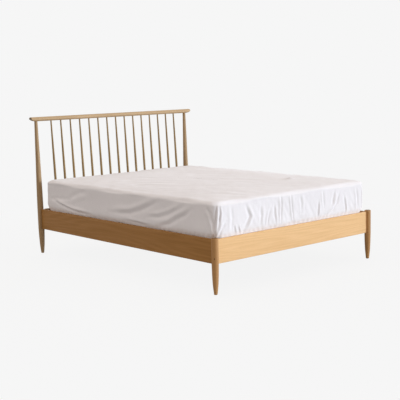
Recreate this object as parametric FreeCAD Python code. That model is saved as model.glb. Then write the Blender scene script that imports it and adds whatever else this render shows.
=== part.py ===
"""Spindle bed: turned posts and legs, oval crest rail, fifteen spindles, slatted base, mattress and sheet.

Millimetres. X is the width, Y the length with the headboard at +Y, Z is up from the floor.
The origin is on the floor, in the middle of the bed's overall width and length.
"""

import FreeCAD
import Part
import math
import os

from FreeCAD import Vector

# ---------------------------------------------------------------- driving dimensions

mattress_width = 1500.0       # where it lies between the rails
mattress_side_play = 12.0     # each side, between the mattress and a side rail
bed_length = 2072.0           # foot leg axis to head post axis, at the floor
joint_gap = 0.1               # radial play of a dowel, tenon, bolt or screw in its hole
rest_gap = 0.3                # air between the bedding and the woodwork

# Rails
rail_bottom = 199.0           # floor to the underside of the side and foot rails
rail_height = 159.0
rail_thickness = 20.0
rail_face_offset = 4.0        # outer face of a rail, outboard of the leg axes
rail_edge_radius = 3.0
leg_seat_offset = 17.0        # flat that a rail end butts against, from the leg's axis

# Turned foot legs and head posts
leg_diameter = 46.5           # at the rails, foot legs
post_diameter = 48.5          # at the rails, head posts
leg_top_rise = 11.0           # foot leg's top above the rails
leg_top_round = 5.0
tip_flat_diameter = 12.0      # disc that stands on the floor
tip_round = 6.0
ankle_height = 30.0
ankle_diameter = 29.5
calf_height = 72.0
calf_diameter = 38.0
knee_height = 128.0
knee_diameter = 43.5
post_lean = 0.59              # degrees, backwards
post_shoulder_height = 535.0
post_shoulder_diameter = 45.2
post_top_diameter = 24.5      # under the crest rail
post_floor_trim = 1.0         # sawn off level after the post has been leant
post_tenon_diameter = 16.0
post_tenon_rise = 6.0         # past the middle of the crest rail

# Crest rail: four-centred oval bar
crest_height = 1081.0         # floor to the middle of its section
crest_section_height = 34.0
crest_section_depth = 44.0
crest_nose_radius = 13.0      # front and back of the oval
crest_forward = 7.0           # middle of the crest rail in front of the post axes
crest_overhang = 53.0         # past each post axis
crest_tip_height = 14.0
crest_tip_sweep = 44.0        # length over which the underside sweeps up to the tip
crest_tip_round = 4.0

# Spindles and the head cross rail that they stand in
spindle_count = 15
spindle_end_margin = 135.4    # post axis to the nearest spindle
spindle_foot_forward = 45.0   # spindle axis in front of the post axes, at the cross rail's top
spindle_foot_diameter = 13.5
spindle_belly_diameter = 18.8
spindle_belly_low = 230.0     # the belly runs straight between these heights above the cross rail
spindle_belly_high = 310.0
spindle_top_diameter = 11.5
spindle_socket_depth = 24.0   # in the cross rail
spindle_tenon_rise = 3.0      # past the middle of the crest rail
cross_rail_rise = 5.0         # its top above the side rails
cross_rail_thickness = 26.0

# Slatted base
slat_count = 12
slat_width = 90.0
slat_thickness = 18.0
slat_top_drop = 34.0          # slat tops below the tops of the side rails
slat_end_gap = 2.0
slat_edge_radius = 2.0
slat_end_margin = 46.0        # first and last slat from the foot rail and the cross rail
strap_share = 0.5             # webbing under the slats, place from the middle out to the side rail
strap_width = 25.0
strap_thickness = 1.5
ledger_width = 28.0
ledger_height = 28.0
ledger_end_gap = 24.0
beam_width = 30.0
beam_height = 62.0
support_leg_top_diameter = 36.0
support_leg_foot_diameter = 26.0
support_leg_foot_share = 0.40   # places along the beam
support_leg_head_share = 0.70
support_spigot_diameter = 14.0
support_spigot_length = 24.0
glide_diameter = 22.0
glide_thickness = 4.0
glide_pin_diameter = 4.0
glide_pin_length = 14.0

# Hardware
plate_thickness = 2.5
plate_lift = 9.0              # plates and brackets above the underside of the rails
corner_plate_height = 54.0
corner_plate_flange = 30.0
corner_plate_reach = 34.0     # bend to the inner corner of the rails
head_bracket_arm = 40.0
head_bracket_height = 42.0
hanger_lip = 30.0
hanger_drop = 26.0            # hanger plate under the beam's seat
hanger_play = 0.5
hanger_screw_spacing = 20.0
bolt_diameter = 8.0
bed_bolt_head_diameter = 16.0
bed_bolt_head_length = 5.0
bed_bolt_reach = 58.0         # past the rail's end, through its barrel nut
bed_bolt_heights = (66.0, 128.0)       # above the underside of the rails
bolt_cap_diameter = 20.0
bolt_cap_thickness = 9.0      # at the bolt's axis
barrel_nut_diameter = 14.0
barrel_nut_length = 15.0
corner_bolt_embed = 6.0       # corner bolt past the leg's axis
corner_bolt_tail = 14.0       # corner bolt past its plate
corner_nut_width = 13.0
corner_nut_height = 6.5
dowel_diameter = 8.0
dowel_length = 40.0
dowel_cover = 4.0             # wood left between a cross rail dowel and the side rail's outer face
side_dowel_heights = (26.0, 133.0)     # above the underside of the rails
foot_dowel_heights = (50.0, 115.0)
cross_dowel_heights = (45.0, 100.0)
screw_diameter = 4.0
screw_head_diameter = 8.0
screw_head_height = 2.4
plate_screw_length = 17.0
ledger_screw_length = 44.0
slat_screw_length = 40.0
ledger_screw_count = 4

# Mattress and fitted sheet
mattress_end_play = 8.0       # each end, between the foot rail and the cross rail
mattress_side_bulge = 18.0    # over each side rail
mattress_foot_bulge = 14.0    # over the foot rail
mattress_head_bulge = 9.0     # over the cross rail
mattress_swell_height = 45.0  # above the rails, where it bulges most
mattress_waist_share = 0.8    # of the bulge, where its sides draw in at half height
mattress_border_share = 0.9   # of the bulge, under its top edge
mattress_top_share = 0.6      # of the bulge, along its top edge
mattress_corner_radius = 70.0
mattress_side_bow = 4.0       # how far each long side bows out between its corners
mattress_end_bow = 2.0
mattress_border_rise = 236.0  # border above the rails
mattress_crown = 16.0         # middle of the top above its border
mattress_edge_round = 22.0
mattress_crown_rings = ((0.12, 0.60), (0.24, 0.90), (0.36, 1.0))   # inset share of width, share of crown
sheet_thickness = 1.2
sheet_hem_width = 120.0       # turned in under the mattress

# ---------------------------------------------------------------- derived places

rail_top = rail_bottom + rail_height
rail_inner_x = mattress_width / 2 + mattress_side_play
rail_outer_x = rail_inner_x + rail_thickness
rail_middle_x = rail_inner_x + rail_thickness / 2
half_spacing = rail_outer_x - rail_face_offset    # X of the right legs' axes
lean_slope = math.tan(math.radians(post_lean))

bed_front = -leg_diameter / 2
bed_back = bed_length + lean_slope * rail_top + post_diameter / 2
foot_y = -(bed_front + bed_back) / 2              # Y of the foot legs' axes
head_y = foot_y + bed_length                      # Y of the head posts' axes, at the floor
crest_y = head_y + lean_slope * crest_height - crest_forward

foot_rail_outer_y = foot_y - rail_face_offset
foot_rail_inner_y = foot_rail_outer_y + rail_thickness
foot_rail_middle_y = foot_rail_outer_y + rail_thickness / 2
side_rail_foot_y = foot_y + leg_seat_offset
side_rail_head_y = head_y + lean_slope * (rail_bottom + rail_height / 2) - leg_seat_offset

cross_rail_top = rail_top + cross_rail_rise
spindle_foot_y = head_y + lean_slope * cross_rail_top - spindle_foot_forward
cross_rail_front_y = spindle_foot_y - cross_rail_thickness / 2
spindle_rake = math.atan2(crest_y - spindle_foot_y, crest_height - cross_rail_top)
spindle_span = (crest_height - cross_rail_top) / math.cos(spindle_rake)   # up to the crest's middle

slat_top = rail_top - slat_top_drop
slat_bottom = slat_top - slat_thickness
beam_bottom = slat_bottom - beam_height
well_length = cross_rail_front_y - foot_rail_inner_y
plate_low = rail_bottom + plate_lift

UP = Vector(0, 0, 1)
DOWN = Vector(0, 0, -1)
RIGHT = Vector(1, 0, 0)
HEADWARD = Vector(0, 1, 0)
FOOTWARD = Vector(0, -1, 0)

os.makedirs("parts", exist_ok=True)


# ---------------------------------------------------------------- helpers

def export(name, shape):
    shape.exportStep("parts/" + name + ".step")
    print(name, len(shape.Solids))


def export_pair(name, shape):
    """A right-hand piece and its mirror image on the left."""
    export(name + "_right", shape)
    export(name + "_left", mirrored(shape))


def mirrored(shape):
    return shape.mirror(Vector(0, 0, 0), RIGHT)


def on_both_sides(shapes):
    return shapes + [mirrored(shape) for shape in shapes]


def block(x0, x1, y0, y1, z0, z1):
    return Part.makeBox(x1 - x0, y1 - y0, z1 - z0, Vector(x0, y0, z0))


def rod(diameter, start, end):
    """Cylinder of a diameter from one point to another."""
    path = end - start
    return Part.makeCylinder(diameter / 2, path.Length, start, path)


def line(points):
    return [Part.makeLine(a, b) for a, b in zip(points, points[1:])]


def taper_edge(start, end):
    """Straight edge as a spline of one span, for the tapers of pieces that repeat."""
    curve = Part.BSplineCurve()
    curve.buildFromPolesMultsKnots([start, end], [2, 2], [0, 1], False, 1)
    return curve.toShape()


def leaving_arc(start, direction, end):
    """Arc that leaves a point along a direction and runs to another point."""
    chord = end - start
    unit = chord * (1 / chord.Length)
    across = direction - unit * direction.dot(unit)
    across.normalize()
    rise = chord.Length / 2 * math.tan(direction.getAngle(chord) / 2)
    return Part.Arc(start, start + chord * 0.5 + across * rise, end).toShape()


def round_edges(solid, radius, direction):
    """Round the straight edges of a solid that run along a direction."""
    edges = []
    for edge in solid.Edges:
        run = edge.Vertexes[-1].Point - edge.Vertexes[0].Point
        if run.Length and run.cross(direction).Length < 1e-6 * run.Length:
            edges.append(edge)
    return solid.makeFillet(radius, edges)


def profile_point(diameter, height):
    return Vector(diameter / 2, 0, height)


def revolve(edges):
    face = Part.Face(Part.Wire(edges))
    return face.revolve(Vector(0, 0, 0), UP, 360)


# ---------------------------------------------------------------- legs and posts

def turned_foot(diameter):
    """Outline edges from the axis at the floor up to the underside of the rails."""
    flat_edge = profile_point(tip_flat_diameter, 0)
    tip_side = profile_point(tip_flat_diameter + 2 * tip_round, tip_round)
    taper = [
        tip_side,
        profile_point(ankle_diameter, ankle_height),
        profile_point(calf_diameter, calf_height),
        profile_point(knee_diameter, knee_height),
        profile_point(diameter, rail_bottom),
    ]
    return line([Vector(0, 0, 0), flat_edge]) + [leaving_arc(flat_edge, RIGHT, tip_side)] + line(taper)


def foot_leg():
    """Right foot leg, with flats where the side rail and the foot rail butt against it."""
    top = rail_top + leg_top_rise
    shoulder = profile_point(leg_diameter, top - leg_top_round)
    crown_edge = profile_point(leg_diameter - 2 * leg_top_round, top)
    edges = turned_foot(leg_diameter)
    edges += line([profile_point(leg_diameter, rail_bottom), shoulder])
    edges += [leaving_arc(shoulder, UP, crown_edge)]
    edges += line([crown_edge, Vector(0, 0, top), Vector(0, 0, 0)])
    leg = revolve(edges)
    reach = leg_diameter
    side_flat = block(-reach, reach, leg_seat_offset, reach, rail_bottom, rail_top)
    foot_flat = block(-reach, -leg_seat_offset, -reach, reach, rail_bottom, rail_top)
    leg = leg.cut([side_flat, foot_flat])
    leg.translate(Vector(half_spacing, foot_y, 0))
    drillings = [dowel.hole() for dowel in side_dowels() + foot_dowels()]
    return leg.cut(drillings + [corner_bolt_hole()])


def post_axis_point(height):
    return Vector(half_spacing, head_y + lean_slope * height, height)


def post_tenon(play):
    """Round tenon from inside the post's top up into the crest rail; with play, its mortise."""
    root = post_axis_point(crest_height - crest_section_height)
    end = post_axis_point(crest_height + post_tenon_rise + play)
    return rod(post_tenon_diameter + 2 * play, root, end)


def head_post_blank(crest):
    """Right head post before drilling: turned, leaning back, coped and tenoned under the crest rail."""
    edges = turned_foot(post_diameter)
    edges += line([
        profile_point(post_diameter, rail_bottom),
        profile_point(post_diameter, rail_top),
        profile_point(post_shoulder_diameter, post_shoulder_height),
        profile_point(post_top_diameter, crest_height),
        Vector(0, 0, crest_height),
        Vector(0, 0, 0),
    ])
    post = revolve(edges)
    post.rotate(Vector(0, 0, 0), RIGHT, -post_lean)
    post.translate(Vector(half_spacing, head_y, -post_floor_trim))
    inner_x = half_spacing - post_diameter
    outer_x = half_spacing + post_diameter
    rail_seat = block(inner_x, outer_x, side_rail_head_y - post_diameter, side_rail_head_y,
                      rail_bottom, rail_top)
    under_floor = block(inner_x, outer_x, head_y - post_diameter, head_y + post_diameter,
                        -post_floor_trim - tip_round, 0)
    return post.cut([rail_seat, under_floor, crest]).fuse(post_tenon(0))


def head_post(blank):
    return blank.cut([bed_bolt_hole(height) for height in bed_bolt_heights])


# ---------------------------------------------------------------- headboard

def oval_section():
    """Four-centred oval on the YZ plane, round its own middle."""
    half_depth = crest_section_depth / 2
    half_height = crest_section_height / 2
    nose_middle = half_depth - crest_nose_radius
    flat_radius = ((nose_middle ** 2 + half_height ** 2 - crest_nose_radius ** 2)
                   / (2 * (half_height - crest_nose_radius)))
    spread = flat_radius - crest_nose_radius
    join_y = nose_middle + crest_nose_radius * nose_middle / spread
    join_z = crest_nose_radius * (flat_radius - half_height) / spread
    joins = [Vector(0, join_y, join_z), Vector(0, join_y, -join_z),
             Vector(0, -join_y, -join_z), Vector(0, -join_y, join_z)]
    middles = [Vector(0, half_depth, 0), Vector(0, 0, -half_height),
               Vector(0, -half_depth, 0), Vector(0, 0, half_height)]
    arcs = [Part.Arc(joins[k], middles[k], joins[(k + 1) % 4]).toShape() for k in range(4)]
    return Part.Face(Part.Wire(arcs))


def crest_bar():
    """Oval bar whose underside sweeps up to a thin tip at each end."""
    half_length = half_spacing + crest_overhang
    section = oval_section()
    section.translate(Vector(-half_length, crest_y, crest_height))
    bar = section.extrude(Vector(2 * half_length, 0, 0))
    return bar.common(crest_envelope(half_length))


def crest_envelope(half_length):
    """Front outline of the crest rail, deep enough in Y to hold the whole section."""
    top = crest_height + crest_section_height / 2
    bottom = crest_height - crest_section_height / 2
    tip_low = top - crest_tip_height
    side_y = crest_y - crest_section_depth

    def end_outline(side):
        outward = RIGHT * side
        sweep_start = Vector(side * (half_length - crest_tip_sweep), side_y, bottom)
        tip_bottom = Vector(side * half_length, side_y, tip_low)
        tip_top = Vector(side * half_length, side_y, top - crest_tip_round)
        round_start = Vector(side * (half_length - crest_tip_round), side_y, top)
        edges = [leaving_arc(sweep_start, outward, tip_bottom), leaving_arc(round_start, outward, tip_top)]
        return sweep_start, round_start, edges + line([tip_bottom, tip_top])

    right_start, right_top, right_edges = end_outline(1)
    left_start, left_top, left_edges = end_outline(-1)
    edges = right_edges + left_edges + line([left_start, right_start]) + line([right_top, left_top])
    face = Part.Face(Part.Wire(Part.__sortEdges__(edges)))
    return face.extrude(Vector(0, 2 * crest_section_depth, 0))


def crest_rail(bar):
    sockets = [spindle_sockets(x)[1] for x in spindle_places()]
    return bar.cut(sockets + on_both_sides([post_tenon(joint_gap)]))


def spindle_places():
    first = spindle_end_margin - half_spacing
    spacing = -2 * first / (spindle_count - 1)
    return [first + spacing * index for index in range(spindle_count)]


def raked(shape, x):
    """Set a shape built up the Z axis on the cross rail's top at x, leaning with the spindles."""
    placed = shape.copy()
    placed.rotate(Vector(0, 0, 0), RIGHT, -math.degrees(spindle_rake))
    placed.translate(Vector(x, spindle_foot_y, cross_rail_top))
    return placed


def spindle():
    """Slim at the foot, full over the belly, slimmest under the crest rail; built up the Z axis."""
    shoulder = spindle_span - crest_section_height / 2
    top = spindle_span + spindle_tenon_rise
    foot = profile_point(spindle_foot_diameter, 0)
    belly_low = profile_point(spindle_belly_diameter, spindle_belly_low)
    belly_high = profile_point(spindle_belly_diameter, spindle_belly_high)
    neck = profile_point(spindle_top_diameter, shoulder)
    edges = line([Vector(0, 0, -spindle_socket_depth),
                  profile_point(spindle_foot_diameter, -spindle_socket_depth), foot])
    edges += [taper_edge(foot, belly_low)] + line([belly_low, belly_high]) + [taper_edge(belly_high, neck)]
    edges += line([neck, profile_point(spindle_top_diameter, top), Vector(0, 0, top),
                   Vector(0, 0, -spindle_socket_depth)])
    return revolve(edges)


def spindle_sockets(x):
    """Drillings for one spindle: in the cross rail and in the crest rail."""
    low = rod(spindle_foot_diameter + 2 * joint_gap,
              Vector(0, 0, -spindle_socket_depth - joint_gap), Vector(0, 0, spindle_socket_depth))
    high = rod(spindle_top_diameter + 2 * joint_gap,
               Vector(0, 0, spindle_span - crest_section_height),
               Vector(0, 0, spindle_span + spindle_tenon_rise + joint_gap))
    return raked(low, x), raked(high, x)


def head_cross_rail():
    rail = block(-rail_inner_x, rail_inner_x, cross_rail_front_y, cross_rail_front_y + cross_rail_thickness,
                 rail_bottom, cross_rail_top)
    rail = round_edges(rail, rail_edge_radius, RIGHT)
    drillings = [spindle_sockets(x)[0] for x in spindle_places()]
    drillings += on_both_sides([dowel.hole() for dowel in cross_dowels()])
    drillings += on_both_sides([screw.hole() for screw in bracket_screws()])
    drillings += [screw.hole() for screw in hanger_screws("head")]
    return rail.cut(drillings)


# ---------------------------------------------------------------- dowels, bolts and screws

class Dowel:
    """Wooden dowel, given by its middle and its direction."""

    def __init__(self, middle, direction):
        self.middle = middle
        self.direction = direction

    def shape(self, play):
        half = self.direction * (dowel_length / 2 + play)
        return rod(dowel_diameter + 2 * play, self.middle - half, self.middle + half)

    def solid(self):
        return self.shape(0)

    def hole(self):
        return self.shape(joint_gap)


class Screw:
    """Countersunk wood screw: head flush with a face, pointing along a direction."""

    def __init__(self, head, direction, length):
        self.head = head
        self.direction = direction
        self.length = length

    def shape(self, play):
        shank = screw_diameter + 2 * play
        tip = self.length + play
        screw = revolve(line([
            Vector(0, 0, 0),
            profile_point(screw_head_diameter + 2 * play, 0),
            profile_point(shank, screw_head_height),
            profile_point(shank, tip),
            Vector(0, 0, tip),
            Vector(0, 0, 0),
        ]))
        screw.Placement = FreeCAD.Placement(self.head, FreeCAD.Rotation(UP, self.direction))
        return screw

    def solid(self):
        return self.shape(0)

    def hole(self):
        return self.shape(joint_gap)


def side_dowels():
    """Right side rail into the foot leg."""
    return [Dowel(Vector(rail_middle_x, side_rail_foot_y, rail_bottom + height), HEADWARD)
            for height in side_dowel_heights]


def foot_dowels():
    """Right end of the foot rail into the foot leg."""
    end_x = half_spacing - leg_seat_offset
    return [Dowel(Vector(end_x, foot_rail_middle_y, rail_bottom + height), RIGHT)
            for height in foot_dowel_heights]


def cross_dowels():
    """Right end of the cross rail into the side rail, short of its outer face."""
    middle_x = rail_outer_x - dowel_cover - dowel_length / 2
    middle_y = cross_rail_front_y + cross_rail_thickness / 2
    return [Dowel(Vector(middle_x, middle_y, rail_bottom + height), RIGHT)
            for height in cross_dowel_heights]


def bed_bolt_line(height):
    """Seat of the bolt's head and tip of the bolt, on the middle of the right side rail."""
    z = rail_bottom + height
    offset = half_spacing - rail_middle_x
    surface_y = head_y + lean_slope * z + math.sqrt((post_diameter / 2) ** 2 - offset ** 2)
    seat = Vector(rail_middle_x, surface_y - bolt_cap_thickness - bed_bolt_head_length, z)
    tip = Vector(rail_middle_x, side_rail_head_y - bed_bolt_reach, z)
    return seat, tip


def bed_bolt(height):
    seat, tip = bed_bolt_line(height)
    shank = rod(bolt_diameter, tip, seat)
    head = rod(bed_bolt_head_diameter, seat, seat + HEADWARD * bed_bolt_head_length)
    return shank.fuse(head).removeSplitter()


def bed_bolt_hole(height):
    seat, tip = bed_bolt_line(height)
    shank = rod(bolt_diameter + 2 * joint_gap, tip + FOOTWARD * joint_gap, seat)
    pocket = rod(bolt_cap_diameter + 2 * joint_gap, seat, seat + HEADWARD * post_diameter)
    return shank.fuse(pocket)


def bolt_cap(height, post_blank):
    """Wooden plug that closes the bolt's pocket, trimmed flush with the back of the post."""
    seat, _ = bed_bolt_line(height)
    start = seat + HEADWARD * (bed_bolt_head_length + joint_gap)
    return rod(bolt_cap_diameter, start, start + HEADWARD * post_diameter).common(post_blank)


def barrel_nut_blank(height, play):
    middle_y = side_rail_head_y - bed_bolt_reach + barrel_nut_diameter / 2
    start = Vector(rail_inner_x - play, middle_y, rail_bottom + height)
    end = Vector(rail_inner_x + barrel_nut_length + play, middle_y, rail_bottom + height)
    return rod(barrel_nut_diameter + 2 * play, start, end)


def barrel_nut(height):
    return barrel_nut_blank(height, 0).cut(bed_bolt_hole(height))


# ---------------------------------------------------------------- steel plates

def corner_plate():
    """Bent steel plate across the inner corner of the right side rail and the foot rail."""
    corner = Vector(rail_inner_x, foot_rail_inner_y, plate_low)
    reach = corner_plate_reach
    tail = reach + corner_plate_flange
    slope = plate_thickness * math.tan(math.pi / 8)
    outline = [
        Vector(0, tail, 0),
        Vector(0, reach, 0),
        Vector(-reach, 0, 0),
        Vector(-tail, 0, 0),
        Vector(-tail, plate_thickness, 0),
        Vector(-reach - slope, plate_thickness, 0),
        Vector(-plate_thickness, reach + slope, 0),
        Vector(-plate_thickness, tail, 0),
        Vector(0, tail, 0),
    ]
    face = Part.Face(Part.Wire(line([corner + point for point in outline])))
    plate = face.extrude(UP * corner_plate_height)
    return plate.cut([screw.hole() for screw in corner_screws()] + [corner_bolt_hole()])


def corner_screws():
    """One into the side rail and one into the foot rail."""
    tail = corner_plate_reach + corner_plate_flange / 2
    z = plate_low + corner_plate_height / 2
    side = Vector(rail_inner_x - plate_thickness, foot_rail_inner_y + tail, z)
    foot = Vector(rail_inner_x - tail, foot_rail_inner_y + plate_thickness, z)
    return [Screw(side, RIGHT, plate_screw_length), Screw(foot, FOOTWARD, plate_screw_length)]


def corner_diagonal():
    """From the leg's axis through the middle of the corner plate."""
    direction = HEADWARD - RIGHT
    direction.normalize()
    return direction


def corner_bolt_points():
    """Start of the bolt in the leg, inner face of the plate, and the bolt's end."""
    axis = Vector(half_spacing, foot_y, plate_low + corner_plate_height / 2)
    web = Vector(rail_inner_x - corner_plate_reach, foot_rail_inner_y, axis.z) - axis
    seat = axis + corner_diagonal() * (web.dot(corner_diagonal()) + plate_thickness)
    start = axis - corner_diagonal() * corner_bolt_embed
    return start, seat, seat + corner_diagonal() * corner_bolt_tail


def corner_bolt():
    start, _, end = corner_bolt_points()
    return rod(bolt_diameter, start, end)


def corner_bolt_hole():
    start, _, end = corner_bolt_points()
    return rod(bolt_diameter + 2 * joint_gap, start - corner_diagonal() * joint_gap, end)


def corner_nut():
    """Hexagon nut drawn up against the plate."""
    _, seat, _ = corner_bolt_points()
    radius = corner_nut_width / 2 / math.cos(math.pi / 6)
    points = [Vector(radius * math.cos(math.pi / 3 * k), radius * math.sin(math.pi / 3 * k), 0)
              for k in range(7)]
    nut = Part.Face(Part.Wire(line(points))).extrude(UP * corner_nut_height)
    nut.Placement = FreeCAD.Placement(seat, FreeCAD.Rotation(UP, corner_diagonal()))
    return nut.cut(corner_bolt_hole())


def head_bracket():
    """Steel angle inside the corner of the right side rail and the cross rail."""
    z = plate_low
    on_side = block(rail_inner_x - plate_thickness, rail_inner_x, cross_rail_front_y - head_bracket_arm,
                    cross_rail_front_y, z, z + head_bracket_height)
    on_cross = block(rail_inner_x - head_bracket_arm, rail_inner_x, cross_rail_front_y - plate_thickness,
                     cross_rail_front_y, z, z + head_bracket_height)
    bracket = on_side.fuse(on_cross).removeSplitter()
    return bracket.cut([screw.hole() for screw in bracket_screws()])


def bracket_screws():
    """One into the side rail and one into the cross rail, half way along the free part of each arm."""
    inset = (head_bracket_arm + plate_thickness) / 2
    z = plate_low + head_bracket_height / 2
    side = Vector(rail_inner_x - plate_thickness, cross_rail_front_y - inset, z)
    cross = Vector(rail_inner_x - inset, cross_rail_front_y - plate_thickness, z)
    return [Screw(side, RIGHT, plate_screw_length), Screw(cross, HEADWARD, plate_screw_length)]


def beam_hanger(end):
    """Steel cup that carries one end of the centre beam; built at the foot, turned for the head."""
    side = beam_width / 2 + hanger_play
    outer = side + plate_thickness
    back = block(-outer, outer, 0, plate_thickness, beam_bottom - hanger_drop, slat_bottom)
    cup = block(-outer, outer, 0, hanger_lip, beam_bottom - plate_thickness, beam_bottom + beam_height / 2)
    room = block(-side, side, plate_thickness, hanger_lip, beam_bottom, slat_bottom)
    hanger = cup.cut(room).fuse(back).removeSplitter()
    if end == "head":
        hanger.rotate(Vector(0, 0, 0), UP, 180)
    hanger.translate(Vector(0, foot_rail_inner_y if end == "foot" else cross_rail_front_y, 0))
    return hanger.cut([screw.hole() for screw in hanger_screws(end)])


def hanger_screws(end):
    """Two under the beam, into the foot rail or the cross rail."""
    if end == "foot":
        face_y = foot_rail_inner_y + plate_thickness
        direction = FOOTWARD
    else:
        face_y = cross_rail_front_y - plate_thickness
        direction = HEADWARD
    z = beam_bottom - (hanger_drop + plate_thickness) / 2
    return [Screw(Vector(x, face_y, z), direction, plate_screw_length)
            for x in (-hanger_screw_spacing / 2, hanger_screw_spacing / 2)]


# ---------------------------------------------------------------- rails

def side_rail():
    """Right side rail, from the flat of the foot leg to the flat of the head post."""
    rail = block(rail_inner_x, rail_outer_x, side_rail_foot_y, side_rail_head_y, rail_bottom, rail_top)
    rail = round_edges(rail, rail_edge_radius, HEADWARD)
    cuts = [dowel.hole() for dowel in side_dowels() + cross_dowels()]
    cuts += [bed_bolt_hole(height) for height in bed_bolt_heights]
    cuts += [barrel_nut_blank(height, joint_gap) for height in bed_bolt_heights]
    cuts += [screw.hole() for screw in corner_screws() + bracket_screws() + ledger_screws()]
    return rail.cut(cuts + [corner_bolt_hole()])


def foot_rail():
    end_x = half_spacing - leg_seat_offset
    rail = block(-end_x, end_x, foot_rail_outer_y, foot_rail_inner_y, rail_bottom, rail_top)
    rail = round_edges(rail, rail_edge_radius, RIGHT)
    cuts = on_both_sides([dowel.hole() for dowel in foot_dowels()])
    cuts += on_both_sides([screw.hole() for screw in corner_screws()] + [corner_bolt_hole()])
    cuts += [screw.hole() for screw in hanger_screws("foot")]
    return rail.cut(cuts)


# ---------------------------------------------------------------- slatted base

def ledger():
    """Right ledger: batten screwed to the inside of the side rail, under the slats."""
    batten = block(rail_inner_x - ledger_width, rail_inner_x, foot_rail_inner_y + ledger_end_gap,
                   cross_rail_front_y - ledger_end_gap, slat_bottom - ledger_height, slat_bottom)
    return batten.cut([screw.hole() for screw in ledger_screws() + slat_screws()])


def ledger_screws():
    found = []
    start = foot_rail_inner_y + ledger_end_gap
    pitch = (well_length - 2 * ledger_end_gap) / ledger_screw_count
    for index in range(ledger_screw_count):
        head = Vector(rail_inner_x - ledger_width, start + pitch * (index + 0.5),
                      slat_bottom - ledger_height / 2)
        found.append(Screw(head, RIGHT, ledger_screw_length))
    return found


def slat_places():
    """Middle of each slat along Y."""
    first = foot_rail_inner_y + slat_end_margin + slat_width / 2
    last = cross_rail_front_y - slat_end_margin - slat_width / 2
    return [first + (last - first) * index / (slat_count - 1) for index in range(slat_count)]


def slat_screws():
    """The first and the last slat are screwed to the ledgers; webbing holds the others at their pitch."""
    return [Screw(Vector(rail_inner_x - ledger_width / 2, y, slat_top), DOWN, slat_screw_length)
            for y in (slat_places()[0], slat_places()[-1])]


def slat(y):
    end = rail_inner_x - slat_end_gap
    board = block(-end, end, y - slat_width / 2, y + slat_width / 2, slat_bottom, slat_top)
    board = round_edges(board, slat_edge_radius, RIGHT)
    if y in (slat_places()[0], slat_places()[-1]):
        board = board.cut(on_both_sides([screw.hole() for screw in slat_screws()]))
    return board


def slat_strap():
    """Right strap of webbing, stapled under every slat."""
    middle_x = rail_inner_x * strap_share
    return block(middle_x - strap_width / 2, middle_x + strap_width / 2,
                 slat_places()[0] - slat_width / 2, slat_places()[-1] + slat_width / 2,
                 slat_bottom - strap_thickness, slat_bottom)


def support_places():
    return {
        "foot": foot_rail_inner_y + well_length * support_leg_foot_share,
        "head": foot_rail_inner_y + well_length * support_leg_head_share,
    }


def centre_beam():
    """Beam on edge under the middle of the slats, with its ends in the hangers."""
    beam = block(-beam_width / 2, beam_width / 2, foot_rail_inner_y + plate_thickness,
                 cross_rail_front_y - plate_thickness, beam_bottom, slat_bottom)
    sockets = []
    for y in support_places().values():
        top = Vector(0, y, beam_bottom + support_spigot_length + joint_gap)
        sockets.append(rod(support_spigot_diameter + 2 * joint_gap, Vector(0, y, beam_bottom), top))
    return beam.cut(sockets)


def support_leg(y):
    """Plain tapered leg with a spigot glued into the centre beam."""
    spigot_top = beam_bottom + support_spigot_length
    leg = revolve(line([
        Vector(0, 0, glide_thickness),
        profile_point(support_leg_foot_diameter, glide_thickness),
        profile_point(support_leg_top_diameter, beam_bottom),
        profile_point(support_spigot_diameter, beam_bottom),
        profile_point(support_spigot_diameter, spigot_top),
        Vector(0, 0, spigot_top),
        Vector(0, 0, glide_thickness),
    ]))
    pin_hole = rod(glide_pin_diameter + 2 * joint_gap, Vector(0, 0, 0),
                   Vector(0, 0, glide_thickness + glide_pin_length + joint_gap))
    leg = leg.cut(pin_hole)
    leg.translate(Vector(0, y, 0))
    return leg


def glide(y):
    """Plastic glide with a pin that is driven into the support leg."""
    disc = rod(glide_diameter, Vector(0, y, 0), Vector(0, y, glide_thickness))
    pin = rod(glide_pin_diameter, Vector(0, y, 0), Vector(0, y, glide_thickness + glide_pin_length))
    return disc.fuse(pin).removeSplitter()


# ---------------------------------------------------------------- mattress and sheet

def bedding_plan(z, bulge, inset, grow):
    """Plan outline of the bedding at one height: four bowed sides and four round corners."""
    half_x = mattress_width / 2 + mattress_side_bulge * bulge - inset + grow
    low_y = foot_rail_inner_y + mattress_end_play - mattress_foot_bulge * bulge + inset - grow
    high_y = cross_rail_front_y - mattress_end_play + mattress_head_bulge * bulge - inset + grow
    radius = max(mattress_corner_radius - inset, mattress_corner_radius / 4) + grow
    corner_depth = radius * (1 - math.sqrt(0.5))
    middle_y = (low_y + high_y) / 2

    def corner(side, end_y, inward):
        """Side point, middle and end point of one round corner."""
        return (Vector(side * half_x, end_y + inward * radius, z),
                Vector(side * (half_x - corner_depth), end_y + inward * corner_depth, z),
                Vector(side * (half_x - radius), end_y, z))

    head_right = corner(1, high_y, -1)
    head_left = corner(-1, high_y, -1)
    foot_left = corner(-1, low_y, 1)
    foot_right = corner(1, low_y, 1)
    arcs = [
        head_right,
        (head_right[2], Vector(0, high_y + mattress_end_bow, z), head_left[2]),
        head_left[::-1],
        (head_left[0], Vector(-half_x - mattress_side_bow, middle_y, z), foot_left[0]),
        foot_left,
        (foot_left[2], Vector(0, low_y - mattress_end_bow, z), foot_right[2]),
        foot_right[::-1],
        (foot_right[0], Vector(half_x + mattress_side_bow, middle_y, z), head_right[0]),
    ]
    return Part.Wire([Part.Arc(*points).toShape() for points in arcs])


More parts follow.
